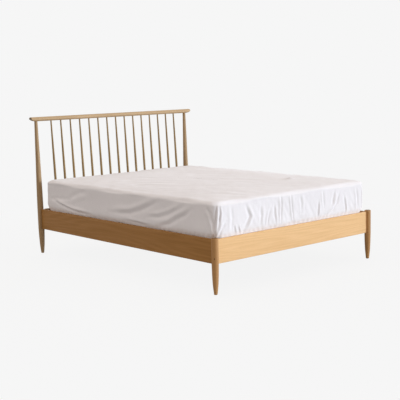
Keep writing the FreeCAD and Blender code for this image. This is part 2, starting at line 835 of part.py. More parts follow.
def bedding_form(grow):
    """Mattress outline grown by a distance: narrow between the rails, full above them, crowned on top."""
    bottom = slat_top + rest_gap + sheet_thickness + rest_gap
    border = rail_top + mattress_border_rise
    middle = rail_top + mattress_border_rise / 2
    soft = mattress_edge_round
    stations = [
        (bottom - grow, 0, soft / 2),
        (bottom + soft / 2, 0, 0),
        (rail_top, 0, 0),
        (rail_top + mattress_swell_height, 1, 0),
        (middle, mattress_waist_share, 0),
        (border - 1.5 * soft, mattress_border_share, 0),
        (border - soft / 3 + grow / 2, mattress_top_share, soft / 4),
        (border + grow, mattress_top_share, 1.5 * soft),
    ]
    stations += [(border + mattress_crown * rise + grow, mattress_top_share, mattress_width * inset)
                 for inset, rise in mattress_crown_rings]
    plans = [bedding_plan(z, bulge, inset, grow) for z, bulge, inset in stations]
    return Part.makeLoft(plans, True, True)


def fitted_sheet():
    """Thin skin over the top and sides of the mattress, with a hem turned in underneath."""
    outer = bedding_form(rest_gap + sheet_thickness)
    inner = bedding_form(rest_gap)
    opening = block(sheet_hem_width - mattress_width / 2, mattress_width / 2 - sheet_hem_width,
                    foot_rail_inner_y + sheet_hem_width, cross_rail_front_y - sheet_hem_width,
                    slat_top, rail_top)
    return outer.cut(inner).cut(opening)


# ---------------------------------------------------------------- build

crest = crest_bar()
post_blank = head_post_blank(crest)
export_pair("head_post", head_post(post_blank))
export_pair("foot_leg", foot_leg())
export_pair("side_rail", side_rail())
export("foot_rail", foot_rail())

export("crest_rail", crest_rail(crest))
export("head_cross_rail", head_cross_rail())
turned_spindle = spindle()
for number, x in enumerate(spindle_places(), start=1):
    export("spindle_%02d" % number, raked(turned_spindle, x))

export_pair("ledger", ledger())
for number, y in enumerate(slat_places(), start=1):
    export("slat_%02d" % number, slat(y))
export("slat_straps", Part.makeCompound(on_both_sides([slat_strap()])))
export("centre_beam", centre_beam())
for end, y in support_places().items():
    export("beam_hanger_" + end, beam_hanger(end))
    export("support_leg_" + end, support_leg(y))
export("support_glides", Part.makeCompound([glide(y) for y in support_places().values()]))

export_pair("corner_plate", corner_plate())
export("corner_bolts", Part.makeCompound(on_both_sides([corner_bolt()])))
export("corner_nuts", Part.makeCompound(on_both_sides([corner_nut()])))
export_pair("head_bracket", head_bracket())
export("bed_bolts", Part.makeCompound(on_both_sides([bed_bolt(height) for height in bed_bolt_heights])))
export("bolt_caps", Part.makeCompound(on_both_sides([bolt_cap(height, post_blank)
                                                     for height in bed_bolt_heights])))
export("barrel_nuts", Part.makeCompound(on_both_sides([barrel_nut(height) for height in bed_bolt_heights])))
dowels = side_dowels() + foot_dowels() + cross_dowels()
export("joint_dowels", Part.makeCompound(on_both_sides([dowel.solid() for dowel in dowels])))
paired_screws = corner_screws() + bracket_screws() + ledger_screws() + slat_screws()
middle_screws = hanger_screws("foot") + hanger_screws("head")
screw_solids = on_both_sides([screw.solid() for screw in paired_screws])
export("wood_screws", Part.makeCompound(screw_solids + [screw.solid() for screw in middle_screws]))

export("mattress", bedding_form(0))
export("fitted_sheet", fitted_sheet())
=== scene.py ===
"""Looks of the spindle bed: oiled light wood, its shaded parts' tones darkened with painted shade,
zinc-plated fittings, mattress, fitted sheet with its folds.
"""

import math

import bpy
import numpy as np
from mathutils import Matrix, Vector, noise


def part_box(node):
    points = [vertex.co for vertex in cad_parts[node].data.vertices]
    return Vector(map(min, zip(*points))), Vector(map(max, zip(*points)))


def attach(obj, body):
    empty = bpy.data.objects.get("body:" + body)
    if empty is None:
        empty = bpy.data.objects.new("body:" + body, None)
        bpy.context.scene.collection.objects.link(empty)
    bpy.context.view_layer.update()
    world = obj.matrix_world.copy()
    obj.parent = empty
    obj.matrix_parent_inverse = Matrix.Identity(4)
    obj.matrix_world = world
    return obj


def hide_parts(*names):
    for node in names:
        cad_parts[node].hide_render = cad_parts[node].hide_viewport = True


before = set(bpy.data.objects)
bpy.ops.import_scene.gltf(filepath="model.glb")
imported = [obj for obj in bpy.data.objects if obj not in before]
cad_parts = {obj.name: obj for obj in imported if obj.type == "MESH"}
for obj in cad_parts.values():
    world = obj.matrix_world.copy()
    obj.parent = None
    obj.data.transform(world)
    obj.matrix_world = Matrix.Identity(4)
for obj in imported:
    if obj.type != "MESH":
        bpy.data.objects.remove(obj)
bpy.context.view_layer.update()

# ---------------------------------------------------------------- nodes


class Tree:
    """Shorthand for making and linking the nodes of one node tree."""

    def __init__(self, tree):
        self.nodes, self.links = tree.nodes, tree.links

    def feed(self, socket, value):
        if isinstance(value, bpy.types.NodeSocket):
            self.links.new(value, socket)
        else:
            socket.default_value = value

    def outputs(self, kind):
        return self.nodes.new("ShaderNode" + kind).outputs

    def node(self, kind, inputs, output=0, **settings):
        made = self.nodes.new("ShaderNode" + kind)
        for key, value in settings.items():
            setattr(made, key, value)
        for key, value in inputs.items():
            self.feed(made.inputs[key], value)
        return made.outputs[output]

    def math(self, operation, a, b=0.0):
        return self.node("Math", {0: a, 1: b}, operation=operation)

    def seen_as_backdrop(self):
        """1 for the camera's own rays, in a gloss or through glass too, and 0 for the light on the object."""
        path = self.outputs("LightPath")
        past = self.math("MAXIMUM", path["Is Glossy Ray"], path["Is Transmission Ray"])
        return self.math("MAXIMUM", path["Is Camera Ray"], past)


class Look(Tree):
    """A material whose Principled shader is fed by a few procedural nodes."""

    def __init__(self, name, **sockets):
        self.material = bpy.data.materials.new(name)
        self.material.use_nodes = True
        super().__init__(self.material.node_tree)
        self.shader = self.nodes["Principled BSDF"]
        for socket, value in sockets.items():
            self.set(socket.replace("_", " "), value)

    def set(self, socket, value):
        self.feed(self.shader.inputs[socket], value)

    def spread(self, value, low, high, to_low=0.0, to_high=1.0):
        return self.node("MapRange", {0: value, 1: low, 2: high, 3: to_low, 4: to_high})

    def mix(self, factor, a, b):
        return self.node("Mix", {0: factor, 6: a, 7: b}, output=2, data_type="RGBA")

    def coordinates(self, scale, shift=(0, 0, 0)):
        place = self.outputs("TexCoord")["Object"]
        return self.node("Mapping", {"Vector": place, "Scale": scale, "Location": shift})

    def noise(self, scale, shift=(0, 0, 0), detail=2.0, roughness=0.5):
        return self.node("TexNoise", {"Vector": self.coordinates(scale, shift), "Scale": 1.0,
                                      "Detail": detail, "Roughness": roughness})

    def split(self, vector):
        made = self.nodes.new("ShaderNodeSeparateXYZ")
        self.links.new(vector, made.inputs[0])
        return made.outputs

    def bump(self, height, distance, strength):
        relief = {"Height": height, "Distance": distance, "Strength": strength}
        self.set("Normal", self.node("Bump", relief))


def colour(tone, times=1.0):
    r, g, b = (min(1.0, times * c) for c in tone)
    return (r, g, b, 1.0)


# ---------------------------------------------------------------- materials

# How fast the parts of the grain change, along it and across it
BANDS, STREAKS, PORES, PATCHES = (0.55, 7.0), (2.2, 150.0), (34.0, 1100.0), (0.9, 4.0)
RING_TURNS = 90.0           # radians of growth ring for the bands' noise from 0 to 1
RING_SHARE = 0.34           # of the grain; the rest is streaks
STREAK_RANGE = (0.3, 0.7)   # of their noise
# Each one's strength at most, its tone times the wood's, and the noise or Pointiness it comes in over
PATCH_STRENGTH, PATCH_TONE, PATCH_RANGE = 0.35, 0.92, (0.35, 0.65)
PORE_STRENGTH, PORE_TONE, PORE_RANGE = 0.275, 0.45, (0.60, 0.72)
WORN_STRENGTH, WORN_TONE, WORN_RANGE = 0.25, 1.12, (0.53, 0.62)
END_STRENGTH = 0.75
END_GRAIN = (0.34, 0.80, 0.97)      # tone; where it starts and is full, as a face turns to the grain's axis
STREAK_RELIEF, PORE_RELIEF = 0.7, 0.8
KNOT_COLOUR, KNOT_CORE, KNOT_STRETCH = (0.05, 0.025, 0.012), 0.35, 0.6


def wood(name, axis, light, dark, shift, rough=0.50, figure=1.0, ends=END_GRAIN, knot=None):
    """Straight-grained oiled wood: growth rings, streaks, pores, darker end grain and paler edges.

    axis is the way its grain runs, light and dark are its two tones, and figure says how close its rings are.
    """
    g = Look(name, Specular_IOR_Level=0.20, Coat_Weight=0.02, Coat_Roughness=0.35)

    def grain_noise(speeds, detail, roughness=0.5):
        lengthways, across = speeds
        scale = tuple(lengthways if letter == axis else across for letter in "XYZ")
        return g.noise(scale, shift, detail, roughness)

    rings = g.math("SINE", g.math("MULTIPLY", grain_noise(BANDS, 1.0), RING_TURNS * figure))
    rings = g.spread(rings, -1.0, 1.0)
    streaks = grain_noise(STREAKS, 4.0, 0.6)
    pores = g.spread(grain_noise(PORES, 2.0), *PORE_RANGE)
    patches = g.spread(grain_noise(PATCHES, 2.0), *PATCH_RANGE, 0.0, PATCH_STRENGTH)
    grain = g.math("ADD", g.math("MULTIPLY", rings, RING_SHARE),
                   g.math("MULTIPLY", g.spread(streaks, *STREAK_RANGE), 1 - RING_SHARE))
    middle = [0.5 * (a + b) for a, b in zip(light, dark)]

    body = g.mix(grain, colour(light), colour(dark))
    body = g.mix(patches, body, colour(middle, PATCH_TONE))
    body = g.mix(g.math("MULTIPLY", pores, PORE_STRENGTH), body, colour(dark, PORE_TONE))
    geometry = g.outputs("NewGeometry")
    facing = g.math("ABSOLUTE", g.split(geometry["Normal"])["XYZ".index(axis)])
    end_tone, end_from, end_full = ends
    body = g.mix(g.spread(facing, end_from, end_full, 0.0, END_STRENGTH), body, colour(dark, end_tone))
    worn = g.spread(geometry["Pointiness"], *WORN_RANGE, 0.0, WORN_STRENGTH)
    body = g.mix(worn, body, colour(light, WORN_TONE))
    if knot:
        (x, y, z), radius = knot
        away = g.node("VectorMath", {0: g.coordinates((1, 1, KNOT_STRETCH)), 1: (x, y, KNOT_STRETCH * z)},
                      output=1, operation="DISTANCE")
        body = g.mix(g.spread(away, KNOT_CORE * radius, radius, 0.9, 0.0), body, colour(KNOT_COLOUR))
    g.set("Base Color", body)
    g.set("Roughness", g.spread(grain, 0.0, 1.0, rough - 0.06, rough + 0.10))
    relief = g.math("SUBTRACT", g.math("MULTIPLY", streaks, STREAK_RELIEF),
                    g.math("MULTIPLY", pores, PORE_RELIEF))
    g.bump(relief, distance=0.00035, strength=0.6)
    return g.material


def steel(name, tone):
    """Zinc-plated steel: fine brushing along Z and cloudy stains."""
    g = Look(name, Metallic=1.0)
    brushed = g.noise((60, 60, 900), detail=3.0)
    stains = g.noise((25, 25, 25), detail=3.0)
    g.set("Base Color", g.mix(g.spread(stains, 0.35, 0.7), colour(tone), colour(tone, 0.82)))
    g.set("Roughness", g.spread(brushed, 0.3, 0.7, 0.28, 0.46))
    g.bump(brushed, distance=0.00008, strength=0.5)
    return g.material


def plastic(name, tone):
    """Moulded plastic with a fine grit."""
    g = Look(name, Roughness=0.6, Specular_IOR_Level=0.4)
    grit = g.noise((900, 900, 900))
    g.set("Base Color", g.mix(grit, colour(tone), colour(tone, 1.5)))
    g.bump(grit, distance=0.0001, strength=0.5)
    return g.material


def woven(name, tone, pitch, depth, shade, sheen=0.25):
    """Plain weave: threads in both directions of a face, with slubs and slight unevenness.

    pitch is from thread to thread, depth is the relief and shade the tone of the darker clouds.
    """
    slub_share, thread_share, slub_tone, thread_tone = 0.06, 0.05, 0.8, 0.85
    g = Look(name, Roughness=0.92, Specular_IOR_Level=0.25, Sheen_Weight=sheen, Sheen_Roughness=0.5)
    turns = 2 * math.pi / pitch
    x, y, z = g.split(g.coordinates((turns, turns, turns)))
    warp = g.math("SINE", g.math("ADD", x, y))
    weft = g.math("SINE", g.math("ADD", z, g.math("SUBTRACT", x, y)))
    threads = g.spread(g.math("MULTIPLY", warp, weft), -1.0, 1.0)
    cloudy = g.noise((3.0, 3.0, 3.0), detail=3.0)
    slubs = g.noise((18.0, 320.0, 320.0))
    body = g.mix(g.spread(cloudy, 0.3, 0.7), colour(tone), colour(tone, shade))
    slub = g.math("MULTIPLY", g.spread(slubs, 0.62, 0.75), slub_share)
    body = g.mix(slub, body, colour(tone, slub_tone))
    body = g.mix(g.math("MULTIPLY", threads, thread_share), body, colour(tone, thread_tone))
    g.set("Base Color", body)
    g.bump(g.math("ADD", threads, g.math("MULTIPLY", slubs, 0.8)), distance=depth, strength=0.7)
    return g.material


# Pale and deep tone of each part's wood. The bed is all one wood, but the side rails, foot legs, head posts,
# crest rail and spindles, with the cross rail and plugs that share their tones, have darker, shaded copies
# of the foot rail's tone: painted shade, by how much less light each of these parts gets.
FOOT_RAIL = (0.89, 0.570, 0.280), (0.71, 0.420, 0.172)
FOOT_LEG_SHADED = (0.55, 0.305, 0.125), (0.40, 0.200, 0.070)
SIDE_RAIL_SHADED = (0.41, 0.197, 0.054), (0.27, 0.122, 0.025)
CREST_RAIL_SHADED = (0.57, 0.400, 0.228), (0.33, 0.212, 0.107)
HEAD_POST_SHADED = (0.455, 0.310, 0.170), (0.31, 0.195, 0.096)
SPINDLE_SHADED = (0.35, 0.235, 0.100), (0.21, 0.130, 0.048)
SLAT = (0.76, 0.60, 0.38), (0.60, 0.42, 0.23)
BASE = (0.70, 0.52, 0.31), (0.52, 0.35, 0.18)
# Crest rail's ends: darker end grain with painted shade, nearly black over a wide turn of the faces towards
# its ends
CREST_END_GRAIN_AND_SHADE = (0.03, 0.45, 0.75)
KNOT = ((-0.79587, -1.05200, 0.2380), 0.0045)       # its middle, on the near foot leg, and its radius

# Each family of nodes, by the start of their names. The three numbers shift a wood's grain from the others'.
looks = {
    "foot_rail": wood("foot_rail_wood", "X", *FOOT_RAIL, (3.1, 0.2, 7.7)),
    "side_rail": wood("side_rail_shaded_wood", "Y", *SIDE_RAIL_SHADED, (1.7, 5.2, 2.3)),
    "head_cross_rail": wood("cross_rail_shaded_wood", "X", *HEAD_POST_SHADED, (8.4, 1.1, 4.6)),
    "foot_leg": wood("foot_leg_shaded_wood", "Z", *FOOT_LEG_SHADED, (6.3, 2.9, 0.4), knot=KNOT),
    "head_post": wood("head_post_shaded_wood", "Z", *HEAD_POST_SHADED, (4.4, 9.1, 1.9)),
    # the crest rail's nearly black ends are end grain with painted shade
    "crest_rail": wood("crest_rail_shaded_wood", "X", *CREST_RAIL_SHADED, (0.7, 6.6, 3.5), ends=CREST_END_GRAIN_AND_SHADE),
    "spindle": wood("spindle_wood", "Z", *SPINDLE_SHADED, (2.2, 4.8, 9.0), figure=0.6),
    "slat": wood("slat_wood", "X", *SLAT, (5.0, 3.0, 1.0), rough=0.7),
    "ledger": wood("base_wood_y", "Y", *BASE, (1.0, 8.0, 6.0), rough=0.7),
    "support_leg": wood("base_wood_z", "Z", *BASE, (9.0, 2.0, 5.0), rough=0.7),
    "bolt_caps": wood("plug_wood", "Y", *FOOT_LEG_SHADED, (7.0, 7.0, 2.0), figure=0.5),
    "corner_plate": steel("plate_zinc", (0.62, 0.62, 0.60)),
    "bed_bolts": steel("fastener_zinc", (0.70, 0.70, 0.67)),
    "support_glides": plastic("glide_plastic", (0.02, 0.02, 0.02)),
    "slat_straps": woven("strap_webbing", (0.30, 0.30, 0.28), 0.0022, 0.0004, shade=0.9, sheen=0.0),
}
for same, others in (("ledger", ("centre_beam",)), ("bolt_caps", ("joint_dowels",)),
                     ("corner_plate", ("head_bracket", "beam_hanger")),
                     ("bed_bolts", ("corner_bolts", "corner_nuts", "barrel_nuts", "wood_screws"))):
    for other in others:
        looks[other] = looks[same]

SOFT = ("mattress", "fitted_sheet", "slat_straps")      # replaced below
for node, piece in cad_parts.items():
    if node in SOFT:
        continue
    family = max((key for key in looks if node.startswith(key)), key=len)
    for holder in piece.material_slots:
        holder.material = looks[family]

# ---------------------------------------------------------------- form of the bedding

SIDE_BULGE, FOOT_BULGE, HEAD_BULGE = 0.018, 0.014, 0.009    # how far the bedding swells over the rails
BOW = 0.002                 # how much further in the middle of a short side, and twice that on a long one
HALF_X, CORNER = 0.750, 0.070       # half the mattress's width between the rails, and its corners' radius
RAIL_TOP, BORDER = 0.358, 0.594     # heights of the rails' top edge and of the mattress's border
ROLL, ROLL_ROWS = 0.042, 10         # width of the rounded edge round the top, and its rows of points
CROWN, CROWN_REACH = 0.016, 0.16    # rise of the top's middle, and how far from the edge it comes about
low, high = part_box("mattress")
BOTTOM = low.z
FOOT_Y, HEAD_Y = low.y + FOOT_BULGE + BOW, high.y - HEAD_BULGE - BOW    # its ends between the rails
LENGTH = HEAD_Y - FOOT_Y

# Side profile, from the underside up: height, share of the bulge
PROFILE = [(BOTTOM, -0.2), (BOTTOM + 0.012, 0.0), (0.350, 0.05), (0.360, 0.18), (0.368, 0.55),
           (0.382, 0.85), (0.403, 1.0), (0.440, 0.93), (0.476, 0.86), (0.520, 0.86), (0.548, 0.91),
           (0.564, 0.92)]
SHOULDER, SHOULDER_SHARE = PROFILE[-1]


def ring(step, fine):
    """Points of a plan outline: their side or corner, and how far along it. The foot side is the finest."""
    unseen, half_corner = 1.3 * step, 0.055
    corner_count = 2 * max(3, int(half_corner / fine))
    points = []
    for side, run, pitch in (("foot", 2 * HALF_X, fine), ("right", LENGTH, unseen),
                             ("head", 2 * HALF_X, unseen), ("left", LENGTH, step)):
        count = 2 * int((run / 2 - CORNER) / pitch)
        points += [(side, k / count) for k in range(count)]
        points += [(side + "_corner", k / corner_count) for k in range(corner_count)]
    return points


def outline(points, push_side, push_foot, push_head, inset, bow):
    """Plan points of one level. push moves the sides out, inset draws the whole outline in."""
    half_x = HALF_X + push_side - inset
    low_y, high_y = FOOT_Y - push_foot + inset, HEAD_Y + push_head - inset
    radius = min(max(CORNER - 0.6 * inset, 0.25 * CORNER), 0.98 * half_x)      # tighter towards the middle
    straight_x, straight_y = 2 * (half_x - radius), high_y - low_y - 2 * radius
    found = []
    for side, share in points:
        swell = bow * math.sin(math.pi * share)
        if side == "foot":
            x, y = -half_x + radius + straight_x * share, low_y - swell
        elif side == "right":
            x, y = half_x + 2 * swell, low_y + radius + straight_y * share
        elif side == "head":
            x, y = half_x - radius - straight_x * share, high_y + swell
        elif side == "left":
            x, y = -half_x - 2 * swell, high_y - radius - straight_y * share
        else:
            start = {"foot_corner": -90, "right_corner": 0, "head_corner": 90, "left_corner": 180}[side]
            angle = math.radians(start + 90 * share)
            centre_x = half_x - radius if side in ("foot_corner", "right_corner") else -half_x + radius
            centre_y = low_y + radius if side in ("foot_corner", "left_corner") else high_y - radius
            x, y = centre_x + radius * math.cos(angle), centre_y + radius * math.sin(angle)
        found.append((x, y))
    return np.array(found)


def perimeter(points):
    """Place along the outline: 0 at the left foot corner, more along the foot, less along the left side."""
    width, length = 2 * HALF_X, LENGTH
    starts = {      # of each side and corner, and its length
        "foot": (CORNER, width - 2 * CORNER),
        "foot_corner": (width - CORNER, 2 * CORNER),
        "right": (width + CORNER, length - 2 * CORNER),
        "right_corner": (width + length - CORNER, 2 * CORNER),
        "head": (-length - width + CORNER, width - 2 * CORNER),
        "head_corner": (-length - CORNER, 2 * CORNER),
        "left": (-length + CORNER, length - 2 * CORNER),
        "left_corner": (-CORNER, 2 * CORNER),
    }
    return np.array([starts[side][0] + starts[side][1] * share for side, share in points])


def levels(step):
    """Rows of (height, bulge share, inset) up the side, over the rolled edge and in to the middle."""
    heights = np.arange(BOTTOM, SHOULDER, step)
    shares = np.interp(heights, [p[0] for p in PROFILE], [p[1] for p in PROFILE])
    shares = np.convolve(np.pad(shares, 2, mode="edge"), np.ones(5) / 5, mode="valid")     # over five rows
    rows = [(z, share, 0.0) for z, share in zip(heights, shares)]
    for k in range(ROLL_ROWS + 1):
        angle = math.pi / 2 * k / ROLL_ROWS
        rows.append((SHOULDER + (BORDER - SHOULDER) * math.sin(angle), SHOULDER_SHARE,
                     ROLL * (1 - math.cos(angle))))
    near_edge, middle_left, coarser, bulge_reach = 0.2, 0.030, 2.4, 0.4
    inset = ROLL
    while inset < HALF_X - middle_left:
        inset += step * (1.0 if inset < near_edge else coarser)
        rows.append((BORDER, SHOULDER_SHARE * max(0.0, 1 - inset / bulge_reach), inset))
    return rows


def crown(plan):
    """Rise of the top above its border, full in the middle and falling off towards each side."""
    to_side = np.clip(HALF_X - np.abs(plan[:, 0]) - ROLL, 0, None)
    to_end = np.clip(np.minimum(plan[:, 1] - FOOT_Y, HEAD_Y - plan[:, 1]) - ROLL, 0, None)
    return CROWN * (1 - np.exp(-to_side / CROWN_REACH)) * (1 - np.exp(-to_end / CROWN_REACH))


def bedding(step, points, shrink, underside):
    """Grid of points [row][point] of the bedding. underside lists its first rows as (inset, height)."""
    grid = []
    for inset, z in underside:
        plan = outline(points, -shrink, -shrink, -shrink, inset, 0.0)
        grid.append(np.column_stack([plan, np.full(len(points), z)]))
    for z, share, inset in levels(step):
        pushes = [bulge * share - shrink for bulge in (SIDE_BULGE, FOOT_BULGE, HEAD_BULGE)]
        plan = outline(points, *pushes, inset, BOW * max(0.0, share))
        lift = shrink if z < RAIL_TOP else -shrink
        rise = crown(plan) if z == BORDER else 0.0
        grid.append(np.column_stack([plan, np.full(len(points), z + lift) + rise]))
    return np.array(grid)


def grid_normals(grid):
    """Directions out of the form at its points."""
    across = np.roll(grid, -1, axis=1) - np.roll(grid, 1, axis=1)
    up = np.gradient(grid, axis=0)
    normal = np.cross(across, up)
    return normal / np.maximum(np.linalg.norm(normal, axis=2, keepdims=True), 1e-12)


def new_piece(name, points, faces, material, rounded=False):
    mesh = bpy.data.meshes.new(name)
    mesh.from_pydata(points, [], faces)
    mesh.update()
    for polygon in mesh.polygons:
        polygon.use_smooth = rounded
    mesh.materials.append(material)
    piece = bpy.data.objects.new(name, mesh)
    bpy.context.scene.collection.objects.link(piece)
    return piece


def skin(name, grid, close_bottom, material):
    """Piece made of a grid's meshes, with the middle of its top filled in."""
    count, size = grid.shape[:2]
    faces = []
    for row in range(count - 1):
        a, b = row * size, (row + 1) * size
        faces += [(a + k, a + (k + 1) % size, b + (k + 1) % size, b + k) for k in range(size)]
    faces.append(tuple((count - 1) * size + k for k in range(size)))
    if close_bottom:
        faces.append(tuple(size - 1 - k for k in range(size)))
    return new_piece(name, grid.reshape(-1, 3).tolist(), faces, material, rounded=True)


# ---------------------------------------------------------------- folds of the sheet

FOLD_DEPTH, FOLD_WIDTH = 1.2, 0.95      # times what the tables say
FOOT_CALM = 0.25                        # how much shallower the folds of the foot side are

# Folds of the left side: line of the valley as (y, z), depth, width, and the side of the ridge beside it
LEFT_FOLDS = [
    ([(0.86, 0.455), (0.82, 0.442), (0.736, 0.417), (0.639, 0.398), (0.544, 0.386), (0.449, 0.382),
      (0.331, 0.376)], 0.0085, 0.011, 1),
    ([(0.64, 0.480), (0.479, 0.533), (0.371, 0.549)], 0.0035, 0.020, -1),
    ([(0.10, 0.424), (-0.022, 0.429), (-0.141, 0.440), (-0.258, 0.473), (-0.338, 0.502), (-0.428, 0.540),
      (-0.483, 0.556)], 0.0075, 0.019, 1),
    ([(-0.33, 0.432), (-0.456, 0.444), (-0.565, 0.475), (-0.65, 0.511), (-0.72, 0.540)], 0.0060, 0.015, 1),
    ([(-0.44, 0.380), (-0.562, 0.407), (-0.647, 0.450), (-0.73, 0.485), (-0.80, 0.530)], 0.0075, 0.017, 1),
    ([(-0.08, 0.383), (-0.184, 0.380), (-0.343, 0.373)], 0.0050, 0.010, 1),
    ([(0.90, 0.460), (0.761, 0.463), (0.60, 0.475)], 0.0035, 0.016, -1),
    ([(-0.93, 0.560), (-0.976, 0.510), (-1.000, 0.441), (-1.010, 0.372)], 0.0060, 0.012, -1),
]
# Folds of the foot side, with the line as (x, z)
FOOT_FOLDS = [
    ([(-0.733, 0.572), (-0.748, 0.449), (-0.757, 0.370)], 0.0065, 0.008, 1),
    ([(-0.706, 0.565), (-0.702, 0.513), (-0.716, 0.440)], 0.0040, 0.008, 1),
    ([(-0.650, 0.455), (-0.690, 0.409), (-0.725, 0.365)], 0.0060, 0.012, -1),
    ([(-0.475, 0.545), (-0.440, 0.469), (-0.469, 0.419), (-0.512, 0.375)], 0.0085, 0.012, 1),
    ([(-0.580, 0.425), (-0.570, 0.368)], 0.0050, 0.006, 1),
    ([(-0.546, 0.420), (-0.534, 0.368)], 0.0050, 0.006, 1),
    ([(-0.602, 0.565), (-0.595, 0.475), (-0.606, 0.385)], 0.0040, 0.013, -1),
    ([(-0.335, 0.540), (-0.336, 0.463), (-0.347, 0.390)], 0.0040, 0.012, 1),
    ([(-0.250, 0.490), (-0.270, 0.435), (-0.280, 0.385)], 0.0060, 0.010, -1),
    ([(-0.210, 0.520), (-0.211, 0.455), (-0.202, 0.390)], 0.0050, 0.009, 1),
    ([(-0.151, 0.578), (-0.142, 0.509), (-0.153, 0.395)], 0.0070, 0.010, -1),
    ([(-0.051, 0.578), (-0.042, 0.498), (-0.032, 0.405)], 0.0065, 0.009, -1),
    ([(0.040, 0.560), (0.052, 0.500), (0.050, 0.440)], 0.0030, 0.012, 1),
    ([(0.232, 0.500), (0.223, 0.432), (0.216, 0.378)], 0.0060, 0.009, 1),
    ([(0.273, 0.570), (0.283, 0.497), (0.285, 0.440)], 0.0050, 0.010, -1),
    ([(0.455, 0.535), (0.426, 0.460), (0.381, 0.414), (0.320, 0.380)], 0.0085, 0.012, -1),
    ([(0.404, 0.555), (0.382, 0.486), (0.371, 0.450)], 0.0055, 0.010, 1),
    ([(0.505, 0.500), (0.516, 0.428), (0.516, 0.375)], 0.0055, 0.009, 1),
    ([(0.640, 0.560), (0.655, 0.470), (0.650, 0.390)], 0.0040, 0.012, -1),
]


def seen_folds():
    """The folds of the two tables, with their lines as perimeter place and height."""
    left = [([(FOOT_Y - y, z) for y, z in line], *rest) for line, *rest in LEFT_FOLDS]
    foot = [([(x + HALF_X, z) for x, z in line], *rest) for line, *rest in FOOT_FOLDS]
    return left + foot


def unseen_folds():
    """Folds of the right side and the head, which carry the same kinds as the two sides in view."""
    chance = np.random.default_rng(41)
    found = []
    width = 2 * HALF_X
    right_count, head_count, pleats = 9, 11, 3
    for k in range(right_count):
        s = width + 0.15 + (LENGTH - 0.3) * (k + chance.uniform(0.1, 0.9)) / right_count
        z = chance.uniform(0.375, 0.44)
        run, rise = chance.uniform(0.16, 0.34) * chance.choice([-1, 1]), chance.uniform(0.03, 0.13)
        found.append(([(s, z), (s + run / 2, z + 0.3 * rise), (s + run, z + rise)],
                      chance.uniform(0.004, 0.008), chance.uniform(0.012, 0.018), 1))
    for k in range(head_count):
        s = -LENGTH - width + 0.1 + (width - 0.2) * (k + chance.uniform(0.1, 0.9)) / head_count
        top, foot = chance.uniform(0.50, 0.575), chance.uniform(0.37, 0.42)
        found.append(([(s, top), (s + chance.uniform(-0.02, 0.02), 0.5 * (top + foot)),
                       (s + chance.uniform(-0.03, 0.03), foot)],
                      chance.uniform(0.004, 0.007), chance.uniform(0.009, 0.013), chance.choice([-1, 1])))
    for corner in (width, width + LENGTH, -LENGTH):
        for k in range(pleats):
            s = corner + 0.035 * (k - 1) + chance.uniform(-0.01, 0.01)
            line = [(s, 0.570), (s + chance.uniform(-0.01, 0.01), 0.45), (s, 0.370)]
            found.append((line, 0.0055, 0.009, 1))
    return found


def smooth(t):
    t = np.clip(t, 0.0, 1.0)
    return t * t * (3 - 2 * t)


def bell(distance, width):
    return np.exp(-(distance / width) ** 2)


def fold(places, heights, line, depth, width, ridge):
    """Push along the normal for one fold: a valley along a line of points, and a ridge beside it."""
    nearest = np.full(places.shape, 9.0)        # distance to the line
    signed = np.zeros(places.shape)             # distance to its straight continuation, by side
    travel = np.zeros(places.shape)             # how far along the line, from 0 to 1
    lengths = [math.dist(a, b) for a, b in zip(line, line[1:])]
    total, done = sum(lengths), 0.0
    for a, b, length in zip(line, line[1:], lengths):
        ux, uz = (b[0] - a[0]) / length, (b[1] - a[1]) / length
        dx, dz = places - a[0], heights - a[1]
        t = np.clip(dx * ux + dz * uz, 0, length)
        near = np.hypot(dx - t * ux, dz - t * uz)
        side = ux * dz - uz * dx
        closer = near < nearest
        nearest = np.where(closer, near, nearest)
        signed = np.where(closer, np.where(side < 0, -near, near), signed)
        travel = np.where(closer, (done + t) / total, travel)
        done += length
    end_part, end_depth = 0.3, 0.15
    ridge_height, ridge_away, ridge_width = 0.75, 1.7, 1.2
    taper = smooth(travel / end_part) * smooth((1 - travel) / end_part) * (1 - end_depth) + end_depth
    past_ends = np.exp(-np.clip((nearest - np.abs(signed)) / width, 0, 9))
    valley = -bell(signed, width)
    beside = bell(signed - ridge * ridge_away * width, ridge_width * width)
    return depth * taper * past_ends * (valley + ridge_height * beside)


def noise_along(places, scale, row, layer):
    """Smooth noise at places along the outline."""
    return np.array([noise.noise(Vector((s * scale, row, layer))) for s in places])


def noise_at(points, scale, shift=(0, 0, 0)):
    """Smooth noise at each point, in places scaled and then shifted."""
    return np.array([noise.noise(Vector(p)) for p in points * np.array(scale) + np.array(shift)])


# Depths of what else the sheet shows: all over, on top, along the edge of the top and at the hem
CREASE_DEPTH, WAVE_DEPTH = 0.0016, 0.0022
STREAK_DEPTH, SWELL_DEPTH = 0.0042, 0.0020
SWAY_DEPTH = 0.011
GATHER_DEPTH, GATHER_PITCH, GATHER_REACH = 0.0016, 0.043, 0.020
# The pinched ridge on top, towards the right foot corner: place, cosine and sine of its direction, size
PINCH_X, PINCH_Y, PINCH_COS, PINCH_SIN = 0.408, -0.596, 0.80, 0.60
PINCH_HEIGHT, PINCH_LENGTH, PINCH_WIDTH = 0.016, 0.034, 0.022


